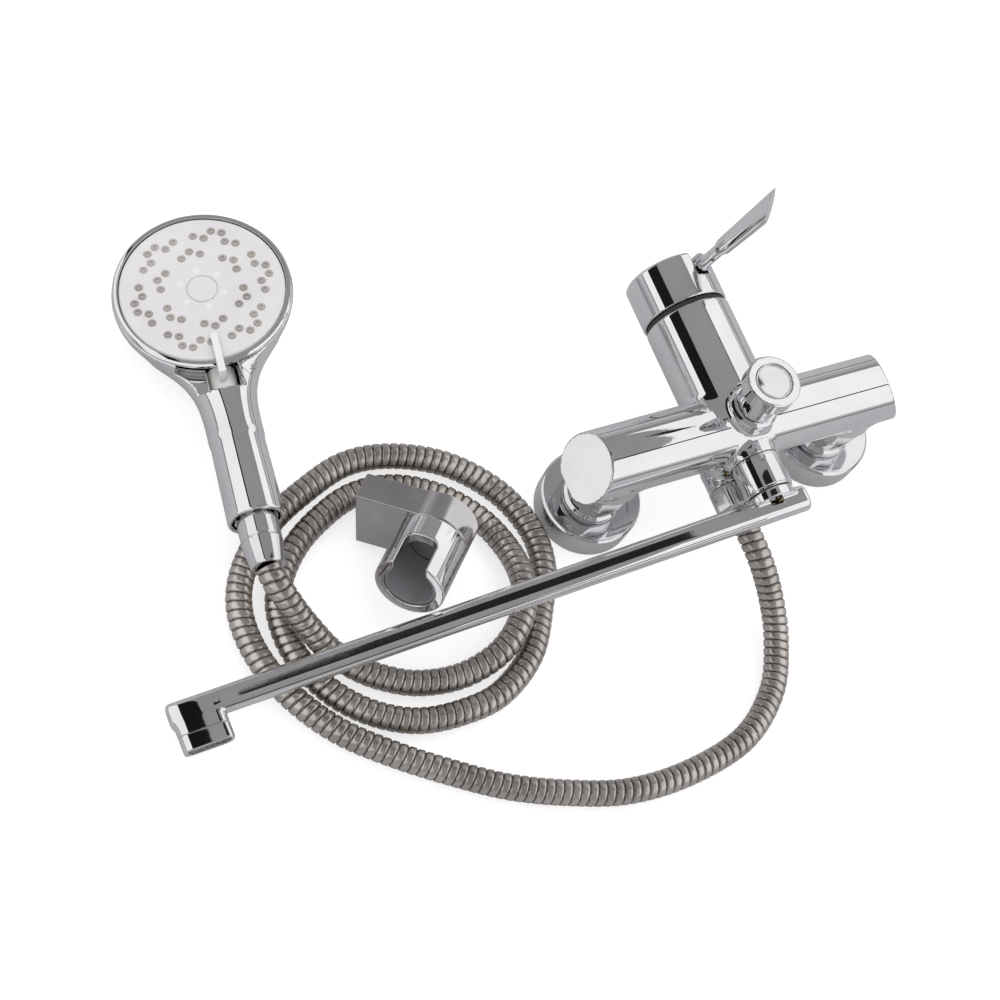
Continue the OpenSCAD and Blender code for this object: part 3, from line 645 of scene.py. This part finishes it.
def rr2(a, b, ha, hb, r):
    qa, qb = np.abs(a) - ha + r, np.abs(b) - hb + r
    return np.minimum(np.maximum(qa, qb), 0) + np.hypot(np.maximum(qa, 0), np.maximum(qb, 0)) - r


def ext(d2, h, lo_, hi_, rr):
    dz = np.abs(h - (lo_ + hi_) / 2) - (hi_ - lo_) / 2
    a, b = d2 + rr, dz + rr
    return np.minimum(np.maximum(a, b), 0) + np.hypot(np.maximum(a, 0), np.maximum(b, 0)) - rr


def spout_fn(P):
    x, y, z = P[:, 0], P[:, 1], P[:, 2]
    bar = ext(rr2(y + 50, z, 7, 5.5, 5.2), x, XR, 18.5, 2.6)
    drop = ext(rr2(x - (XR + 14.5), z, 12.5 + 1.0, 5.5, 5.2), y, -61.8, -46.0, 0.4)
    d = smin(bar, drop, 1.2)
    d = smin(d, s_cyl(P, "y", (0, 0, 0), 12.8, -47.5, -42, 0.8), 1.6)
    ch = ext(rr2(y + 50, z, 5.5, 4.0, 2.0), x, XR + 6, -8, 0.5)
    d = smax(d, -ch, 0.3)
    d = smax(d, -s_cyl(P, "y", (0, 0, 0), 6.5, -50, -30), 0.3)
    d = smax(d, -ext(rr2(x - (XR + 14.5), z, 10, 3.8, 2.0), y, -70, -50, 0.3), 0.3)
    return d


# the long bar is one mesh at one fine pitch, ends and bar alike
spout = nets("spout_bar", spout_fn, (XR - 1.2, -63.4, -7.6), (20.3, -40.8, 7.6), 0.62, SP)
boss_need = None
give(spout, chrome, "spout", "chrome_spout", "spout_pipe")


def boss_fn(P):
    d = s_cyl(P, "y", (0, 0, 0), 12.8, -47.5, -42, 0.9)
    return smax(d, -s_cyl(P, "y", (0, 0, 0), 6.5, -50, -30), 0.3)


boss = nets("spout_boss", boss_fn, (-13.9, -48.7, -13.9), (13.9, -40.8, 13.9), 0.62, SP)
give(boss, chrome, "spout", "chrome_spout")


def aer_fn(P):
    x, y, z = P[:, 0] - (XR + 14.5), P[:, 1], P[:, 2]
    d = ext(rr2(x, z, 13.3, 5.9, 4.2), y, -70.5, -61.9, 0.7)
    return smax(d, -ext(rr2(x, z, 11.3, 4.0, 2.0), y, -90, -40, 0.0), 0.5)


aer = nets("aerator_frame", aer_fn, (XR + 0.2, -71.6, -6.8), (XR + 29, -60.8, 6.8), 0.45, SP)
give(aer, chrome, "spout", "chrome_spout", "aerator_housing")

# woven gauze over the aerator: two layers of crossing wires, on a plain rim
verts, faces = [], []


def wire(p0, p1, r, lift, n=24, segs=6):
    """A round wire that weaves over and under."""
    p0, p1 = np.array(p0, float), np.array(p1, float)
    L = np.linalg.norm(p1 - p0); t = (p1 - p0) / L
    up_ = np.array([0, 1.0, 0]); sd = np.cross(t, up_)
    b0 = len(verts)
    for i in range(n + 1):
        q = p0 + t * L * i / n + up_ * (lift * math.cos(pi * i * L / n / 1.45))
        for k in range(segs):
            a = 2 * pi * k / segs
            verts.append(q + r * (math.cos(a) * sd + math.sin(a) * up_))
    for i in range(n):
        for k in range(segs):
            a = b0 + i * segs + k; b = b0 + i * segs + (k + 1) % segs
            faces.append((a, b, b + segs, a + segs))


cx = XR + 14.5
for i in range(-7, 8):
    wire((cx + i * 1.45, -69.15, -3.5), (cx + i * 1.45, -69.15, 3.5), 0.24, 0.2 if i % 2 else -0.2, 14)
for j in range(-2, 3):
    wire((cx - 10.8, -69.15, j * 1.45), (cx + 10.8, -69.15, j * 1.45), 0.24, 0.2 if j % 2 else -0.2, 60)
gz = new_mesh("aerator_weave", verts, faces, SP)
give(gz, mesh_steel, "spout", "steel_mesh", "aerator_mesh")

# ------------------------------------------------------------------ diverter
bon = lathe("diverter_bonnet_turned", [(4.1, -8), (4.1, 3.8), (11.9, 3.8), (13.3, 2.5), (13.5, 0.0), (9.0, 0.0), (9.0, -12), (4.1, -12)][1:], Matrix.Translation((0, 0, H + R19 + 3.6)), segs=128, r=0.35)
give(bon, chrome, "fixed_body", "chrome_knob", "diverter_bonnet")


def knob_fn(P):
    r = np.hypot(P[:, 0], P[:, 1]); z = P[:, 2]
    stem = smax(np.maximum(r - 11, np.abs(P[:, 0]) - 9.6), np.abs(z - 8) - 8, 0.5)
    stem = np.minimum(stem, np.maximum(r - 9.8, np.abs(z - 8) - 8))
    head = s_poly(r, z, [(-6, 15.0), (12.1, 15.0), (14.6, 16.9), (14.6, 25.4), (14.0, 25.8), (-6, 25.8)]) - 0.35
    d = smin(stem, head, 1.5)
    bump_ = s_cyl(P, "z", (0, 12.6, 0), 4, 16.6, 22.6, 0.6)
    d = smin(d, bump_, 1.2)
    d = smax(d, -s_cyl(P, "z", (0, 0, 0), 4.02, -5, 17.1), 0.2)
    d = smax(d, -s_cyl(P, "z", (0, 0, 0), 1.7, 16, 40), 0.2)
    d = smax(d, -s_cyl(P, "z", (0, 0, 0), 10.2, 24.6, 40), 0.3)
    return d


knob = nets("diverter_knob_shaped", knob_fn, (-17.2, -17.2, -1), (17.2, 18.4, 27.3), 0.62, Matrix.Translation((0, 0, H + R19 + 8)))
give(knob, chrome, "diverter", "chrome_knob", "diverter_knob")
dc = lathe("diverter_cap_turned", [(-0.0, 0.95), (8.7, 0.95), (8.9, 0.75), (9.3, 0.75), (9.6, 1.3), (10.0, 1.2), (10.1, 0.1), (1.5, 0.0), (1.5, -7.0), (0.0, -7.0)], Matrix.Translation((0, 0, H + R19 + 32.65)), segs=128, closed=False, r=[0, 0.1, 0.1, 0.1, 0.1, 0.1, 0.2, 0.1, 0.1, 0])
give(dc, chrome_b, "diverter", "chrome_knob", "diverter_cap")

# ------------------------------------------------------------------ outlet nut


def onut_fn(P):
    y = P[:, 1]
    h = smax(s_hex(P, 22.6, "y", (OX, OZ)), np.hypot(P[:, 0] - OX, P[:, 2] - OZ) - 12.3, 0.5)
    h = smax(h, np.maximum(-37 - y, y + 24.6), 0.5)
    cone = s_rev(P, [(-3, -41.6), (8.2 - 0.4, -41.6), (10.4 - 0.4, -36), (-3, -36)], 0.4, "y", (OX, OZ))
    d = smin(h, cone, 0.5)
    d = smax(d, -s_cyl(P, "y", (OX, 0, OZ), 10.25, -34.9, -10), 0.3)
    return smax(d, -s_cyl(P, "y", (OX, 0, OZ), 5.7, -60, -20), 0.3)


on = nets("outlet_nut_hex", onut_fn, (OX - 14, -43, OZ - 14), (OX + 14, -23.6, OZ + 14), 0.5)
give(on, chrome_nut, "fixed_body", "chrome_nut", "outlet_hose_nut")

# ------------------------------------------------------------------ hand shower
shell_out = [(-8, -33), (14, -33), (24, -31.4), (33, -27.4), (40, -21.5), (45, -14.5), (47.4, -8), (48, -3.2), (47.4, -1.6), (-8, -1.6)]
shell_in = [(-8, -30.5), (14, -30.5), (23, -28.8), (31, -25.2), (37.6, -19.6), (42, -13.4), (44.8, -7.4), (45.2, 3), (-8, 3)]
so = np.array(fillet(shell_out, 5.0, 7)); si = np.array(fillet(shell_in, 5.0, 7))


def hnd(y):
    """Handle radius along its length."""
    return 13.5 + 1.5 * np.clip((-30 - y) / 103, 0, 1)


def shell_fn(P):
    x, y, z = P[:, 0], P[:, 1], P[:, 2]
    head = s_poly(np.hypot(x, y), z, so)
    r = np.hypot(x, z + 15)
    stick = smax(r - hnd(y), np.maximum(-133 - y, y + 22), 1.4)
    # web between the head and the handle, wide at the head and thin below the handle's top
    t = np.clip((y + 80) / 48.0, 0, 1)
    hw = 13.0 + 16.0 * t * t
    th = 13.2 - 2.4 * t
    nx = np.maximum(np.abs(x) - (hw - th), 0)
    web = smax((np.hypot(nx, (z + 15)) - th) * 0.9, np.maximum(-84 - y, y + 26), 2.0)
    d = smin(stick, web, 4.0)
    d = smin(head, d, 9.0)
    d = smax(d, -s_cyl(P, "z", (0, 0, 0), 48.2, -1.6, 20), 0.4)
    d = smax(d, -s_poly(np.hypot(x, y), z, si), 0.3)
    # slot that the selector tab sweeps
    a = np.degrees(np.arctan2(y, x))
    rr_ = np.hypot(x, y)
    sl = np.maximum(np.maximum(np.maximum(40 - rr_, rr_ - 60), -8.2 - z), np.radians(np.maximum(-118.5 - a, a + 79.5)) * rr_)
    d = smax(d, -sl, 0.5)
    d = smax(d, -s_cyl(P, "y", (0, 0, -15), 12.5, -150, -120), 0.5)
    d = smax(d, -s_cyl(P, "y", (0, 0, -15), 11.5, -125, -60), 0.3)
    d = smax(d, -s_cyl(P, "y", (0, 0, -15), 10.0, -66, -20), 0.3)
    return d


shell = nets("handset_shell_chromed", shell_fn, (-49.2, -134.3, -34.3), (49.2, 49.3, 1.9), 1.1, HS)
give(shell, chrome, "fixed_body", "chrome_handset", "handset_shell")
rim = lathe("face_rim_turned", [(44.4, -1.5), (47.3, -1.5), (47.35, 0.2), (46.4, 1.2), (45.0, 1.5), (44.4, 1.3)], HS, segs=192, r=0.35)
give(rim, chrome, "fixed_body", "chrome_handset", "face_rim")

# spray face: a flat turned plate with a ring on its underside and a shallow centre recess, and the places of the
# nozzles
noz = []
for g in range(6):
    for k in range(6):
        a = math.radians(g * 60 + 6.5 + [-20.4, -10.4, -4.5, 4.5, 10.4, 20.4][k]); r = [33.2, 31.6, 36.3, 36.3, 31.6, 33.2][k]
        noz.append((r * math.cos(a), r * math.sin(a)))
for g in range(6):
    for k in range(3):
        a = math.radians(g * 60 + 35 + [-13.6, 0, 13.6][k]); r = [21.7, 24.1, 21.7][k]
        noz.append((r * math.cos(a), r * math.sin(a)))
small = [(11.9 * math.cos(math.radians(35 + 60 * g)), 11.9 * math.sin(math.radians(35 + 60 * g))) for g in range(6)]
fp = lathe("spray_face_plate", [(3.2, -2.4), (39, -2.4), (39, -8.3), (42, -8.3), (42, -2.4), (43.9, -2.4), (43.9, 0.35), (43.2, 1.0), (42.2, 1.06), (8.4, 1.06), (8.25, 0.4), (3.2, 0.4)], HS, segs=192, r=0.25)
give(fp, face_grey, "fixed_body", "face_plastic", "face_plate")


def studs(name, places, prof, mat, slotname, *nodes, segs=20):
    V, F = [], []
    pr = fillet(prof, 0.22, 3)
    for (px, py) in places:
        b0 = len(V)
        for k in range(segs):
            a = 2 * pi * k / segs
            for (r, z) in pr:
                V.append((px + r * math.cos(a), py + r * math.sin(a), z))
        n = len(pr)
        for k in range(segs):
            for i in range(n - 1):
                a, b = b0 + k * n + i, b0 + ((k + 1) % segs) * n + i
                F.append((a, b, b + 1, a + 1))
        F.append(tuple(b0 + k * n + n - 1 for k in range(segs)))
        F.append(tuple(b0 + (segs - 1 - k) * n for k in range(segs)))
    ob = new_mesh(name, V, F, HS)
    ob.data.set_sharp_from_angle(angle=math.radians(40))
    return give(ob, mat, "fixed_body", slotname, *nodes)


studs("spray_nozzle_tips", noz, [(2.35, 1.04), (2.15, 1.2), (1.9, 1.22), (1.7, 1.25), (1.45, 1.8), (1.1, 1.95), (0.8, 1.9), (0.62, 1.2), (0.5, 1.0)], nozzle_grey, "nozzle_rubber", "spray_nozzles")
studs("small_jets", small, [(1.9, 1.03), (1.8, 1.28), (1.35, 1.3), (1.2, 1.1), (0.75, 1.1), (0.6, 1.5), (0.2, 1.52)], tab_white, "face_plastic")
fc = lathe("face_screw_cap", [(0.0, 1.32), (7.2, 1.25), (7.75, 1.0), (7.9, 0.42), (3.0, 0.35), (3.0, -11.9), (0.0, -11.9)], HS, segs=96, closed=False, r=[0, 0.3, 0.3, 0.1, 0.1, 0.2, 0])
give(fc, face_grey, "fixed_body", "face_plastic", "face_screw")


def tab_fn(P):
    # the bar is turned to lie along the handle
    x, y, z = -P[:, 1], P[:, 0], P[:, 2]
    q = np.stack([x, y, z], 1)
    bar = s_box(q, (30.5, -1.9, 2.2), (53, 1.9, 3.9), 0.55)
    bar = smin(bar, s_cyl(q, "z", (30.6, 0, 0), 1.95, 2.2, 3.9, 0.5), 0.3)
    drop = s_box(q, (51.3, -1.9, -7.4), (53, 1.9, 3.9), 0.5)
    arm = s_box(q, (34, -1.9, -7.4), (53, 1.9, -5.7), 0.4)
    d = smin(smin(bar, drop, 0.8), arm, 0.6)
    disc = s_cyl(P, "z", (0, 0, 0), 37.5, -7.4, -5.6, 0.2)
    disc = np.maximum(disc, -s_cyl(P, "z", (0, 0, 0), 4, -9, 0))
    return np.minimum(d, disc)


tab = nets("spray_tab", tab_fn, (-39, -54.2, -8.4), (39, 38.5, 4.9), 0.6, HS)
give(tab, tab_white, "selector", "selector_plastic", "spray_selector")

cn = lathe("handset_cone_nut_turned", [(8.4, -133.2), (10.5, -133.2), (10.7, -133.8), (10.7, -144.0), (10.3, -144.6), (9.95, -144.65), (9.95, -145.15), (10.6, -145.3), (10.8, -146.0), (8.9, -159.2), (8.3, -160), (5.8, -160), (5.8, -143.0), (8.4, -143.0)], HS @ Matrix.Translation((0, 0, -15)), axis="y", segs=128, r=0.3)
give(cn, chrome_b, "fixed_body", "chrome_handset", "handset_cone_nut")

# ------------------------------------------------------------------ wall holder
ARM, CR = 43.0, 19.0


def block_fn(P):
    b = s_box(P, (0, -17.5, -8.7), (ARM, 17.5, 8.7), 0.7)
    c = s_cyl(P, "z", (0, 0, 0), CR, -8.7, 8.7, 0.7)
    d = smin(b, c, 0.8)
    d = smax(d, -s_cyl(P, "z", (0, 0, 0), 8, -20, 20), 0.3)
    d = smax(d, -s_box(P, (ARM - 4, -13.5, -6), (ARM + 9, 13.5, 6), 0.5), 0.4)
    for s in (-9, 9):
        d = smax(d, -s_cyl(P, "x", (0, s, 0), 2.5, ARM - 14, ARM + 9), 0.3)
    return d


blk = nets("holder_block_plated", block_fn, (-20.2, -20.2, -9.9), (ARM + 1.2, 20.2, 9.9), 0.7, BR)
give(blk, holder_grey, "holder", "holder_plastic", "holder_block")


def clip_fn(P):
    z = P[:, 2]
    d = s_cyl(P, "z", (0, 0, 0), CR, 9, 43, 0.8)
    d = smin(d, s_cyl(P, "z", (0, 0, 0), 7.93, -4, 10), 0.6)
    bore = np.hypot(P[:, 0], P[:, 1]) - (11.8 + 2.3 * (z - 13) / 31)
    d = smax(d, -np.maximum(bore, 13 - z), 0.7)
    slot_ = ext(rr2(P[:, 0], P[:, 2] - 60, 8.5, 37, 3.9), P[:, 1], -30, 0, 0.0)
    d = smax(d, -slot_, 1.1)
    d = smax(d, -s_cyl(P, "z", (0, 0, 0), 2.1, -10, 12), 0.3)
    return d


clip = nets("holder_clip_chromed", clip_fn, (-20.1, -20.1, -5), (20.1, 20.1, 44.2), 0.68, BR)
give(clip, chrome, "holder_cradle", "chrome_holder", "holder_clip")


def liner_fn(P):
    z = P[:, 2]; r = np.hypot(P[:, 0], P[:, 1])
    d = np.maximum(r - (11.75 + 2.15 * (z - 13.1) / 28.9), np.maximum(13.1 - z, z - 42.0))
    d = smax(d, -(r - (10.6 + 2.1 * (z - 13) / 30)), 0.3)
    return smax(d, -s_box(P, (-9.4, -30, 12), (9.4, 4, 80)), 0.4)


lin = nets("holder_liner_soft", liner_fn, (-15, -15, 12), (15, 15, 43.2), 0.5, BR)
give(lin, liner_white, "holder_cradle", "holder_plastic", "holder_liner")

# ------------------------------------------------------------------ inner parts keep their CAD shape, with their own materials
inner = {
    "wall_connectors": brass, "inlet_seals": rubber, "inlet_strainers": steel, "cartridge_shell": white_plastic, "cartridge_seal": rubber,
    "ceramic_disc_fixed": ivory, "ceramic_disc_moving": ivory, "cartridge_stem": steel, "clamp_nut": brass, "lever_set_screw": dark_steel,
    "spout_spigot": brass, "spout_orings": rubber, "aerator_insert": white_plastic, "diverter_spindle": brass, "diverter_rotor": ivory,
    "outlet_nipple": brass, "check_valve_poppet": white_plastic, "outlet_washer": rubber, "cone_washer": rubber, "handset_inner_tube": white_plastic,
    "handset_connector": chrome_nut, "handset_back_plate": white_plastic, "holder_spigot_screw": dark_steel,
}
for n, mt in inner.items():
    ob = frame["nodes"][n]
    ob.data.materials.clear()
    ob.data.materials.append(mt)

# ------------------------------------------------------------------ floor and light
import bmesh
bm = bmesh.new()
N = 24
grid = [[bm.verts.new((-6 + 12 * i / N, -6 + 12 * j / N, -0.0004)) for j in range(N + 1)] for i in range(N + 1)]
for i in range(N):
    for j in range(N):
        bm.faces.new((grid[i][j], grid[i + 1][j], grid[i + 1][j + 1], grid[i][j + 1]))
fm = bpy.data.meshes.new("floor"); bm.to_mesh(fm); bm.free()
floor = bpy.data.objects.new("floor", fm)
bpy.context.scene.collection.objects.link(floor)
fmat, fnt, fb = nodes_of("floor_white")
fb.inputs["Emission Color"].default_value = (1, 1, 1.005, 1)
flp = fnt.nodes.new("ShaderNodeLightPath")
fmx = fnt.nodes.new("ShaderNodeMix"); fmx.data_type = "RGBA"      # mirrors see a greyer floor than the eye does
fnt.links.new(flp.outputs["Is Glossy Ray"], fmx.inputs[0])
fmx.inputs[6].default_value = (0.50, 0.50, 0.505, 1)
fmx.inputs[7].default_value = (0.30, 0.295, 0.31, 1)
fnt.links.new(fmx.outputs[2], fb.inputs["Base Color"])
fnt.links.new(maprange(fnt, flp.outputs["Is Glossy Ray"], 0.68, 0.16), fb.inputs["Emission Strength"])
fb.inputs["Roughness"].default_value = 0.9
fb.inputs["Specular IOR Level"].default_value = 0.1
floor.data.materials.append(fmat)

world = bpy.data.worlds.new("studio")
bpy.context.scene.world = world
world.use_nodes = True
wn = world.node_tree
bg = wn.nodes["Background"]
tc = wn.nodes.new("ShaderNodeTexCoord")
sep = wn.nodes.new("ShaderNodeSeparateXYZ")
wn.links.new(tc.outputs["Generated"], sep.inputs["Vector"])
wr = wn.nodes.new("ShaderNodeValToRGB")
el = wr.color_ramp.elements
el[0].position, el[0].color = 0.0, (0.50, 0.49, 0.51, 1)
el[1].position, el[1].color = 0.02, (0.24, 0.235, 0.25, 1)
for p, c in ((0.07, 0.20), (0.09, 0.50), (0.20, 0.60), (0.23, 0.20), (0.26, 0.46), (0.33, 0.42), (0.37, 0.28), (1.0, 0.31)):
    e_ = el.new(p); e_.color = (c, c * 0.985, c * 1.01, 1)
wn.links.new(sep.outputs["Z"], wr.inputs["Fac"])
lp = wn.nodes.new("ShaderNodeLightPath")
wm = wn.nodes.new("ShaderNodeMix"); wm.data_type = "RGBA"
wn.links.new(lp.outputs["Is Glossy Ray"], wm.inputs[0])
wm.inputs[6].default_value = (1.0, 1.0, 1.005, 1)
wn.links.new(wr.outputs["Color"], wm.inputs[7])
wn.links.new(wm.outputs[2], bg.inputs["Color"])
bg.inputs["Strength"].default_value = 1.0


def card(name, corners, value):
    """A flat studio card that only reflections see: white ones are softboxes, black ones are flags."""
    me = bpy.data.meshes.new(name)
    me.from_pydata([tuple(c) for c in corners], [], [tuple(range(len(corners)))])
    ob = bpy.data.objects.new(name, me)
    bpy.context.scene.collection.objects.link(ob)
    mt = bpy.data.materials.new(name); mt.use_nodes = True
    nt = mt.node_tree; nt.nodes.clear()
    em = nt.nodes.new("ShaderNodeEmission"); out = nt.nodes.new("ShaderNodeOutputMaterial")
    em.inputs["Color"].default_value = (1, 1, 1.01, 1) if value > 0.4 else (0.9, 0.88, 0.92, 1)
    em.inputs["Strength"].default_value = value
    nt.links.new(em.outputs[0], out.inputs["Surface"])
    ob.data.materials.append(mt)
    ob.visible_camera = ob.visible_diffuse = ob.visible_shadow = ob.visible_transmission = False
    return ob


def flat(name, x0, x1, y0, y1, z, value):
    return card(name, [(x0, y0, z), (x1, y0, z), (x1, y1, z), (x0, y1, z)], value)


flat("softbox_left_low", -2.0, -0.345, -0.3, 1.2, 0.20, 0.96)
rdir = Vector((-0.879, 0.298, -0.373)).normalized()                # where the left end facet looks
ru = rdir.cross(Vector((0, 0, 1))).normalized(); rv = rdir.cross(ru)
rc_ = Vector((-0.096, 0, 0.062)) + rdir * 0.05
card("bounce_end_facet", [tuple(rc_ + ru * a_ * 0.026 + rv * b_ * 0.026) for a_, b_ in ((-1, -1), (1, -1), (1, 1), (-1, 1))], 0.90)
flat("edge_left_low", -0.345, -0.325, -0.3, 1.2, 0.20, 0.01)
flat("flag_left", -2.2, -0.50, -0.3, 1.2, 0.62, 0.012)
card("softbox_right", [(0.225, -0.165, 0.6), (1.9, -0.165, 0.6), (1.9, 0.72, 0.6), (0.37, 0.72, 0.6), (0.262, 0.285, 0.6), (0.262, 0.17, 0.6), (0.225, 0.17, 0.6)], 1.0)
flat("edge_right", 0.238, 0.262, 0.17, 0.285, 0.60, 0.012)
flat("softbox_front", 0.05, 2.2, -2.4, -0.20, 0.60, 1.0)
flat("edge_front", 0.05, 2.2, -0.20, -0.165, 0.60, 0.012)
flat("flag_zenith", -0.30, 0.06, 0.02, 0.112, 0.60, 0.02)


def area(name, loc, target, sx, sy, power):
    ld = bpy.data.lights.new(name, "AREA")
    ld.shape = "RECTANGLE"; ld.size, ld.size_y = sx, sy; ld.energy = power
    lo_ = bpy.data.objects.new(name, ld)
    bpy.context.scene.collection.objects.link(lo_)
    lo_.location = loc
    lo_.rotation_euler = (Vector(target) - Vector(loc)).to_track_quat("-Z", "Y").to_euler()
    lo_.visible_glossy = False
    return lo_


area("softbox_top", (0.5, 0.5, 1.9), (-0.08, 0, 0), 1.6, 1.2, 7)
bpy.context.scene.view_settings.view_transform = "Standard"
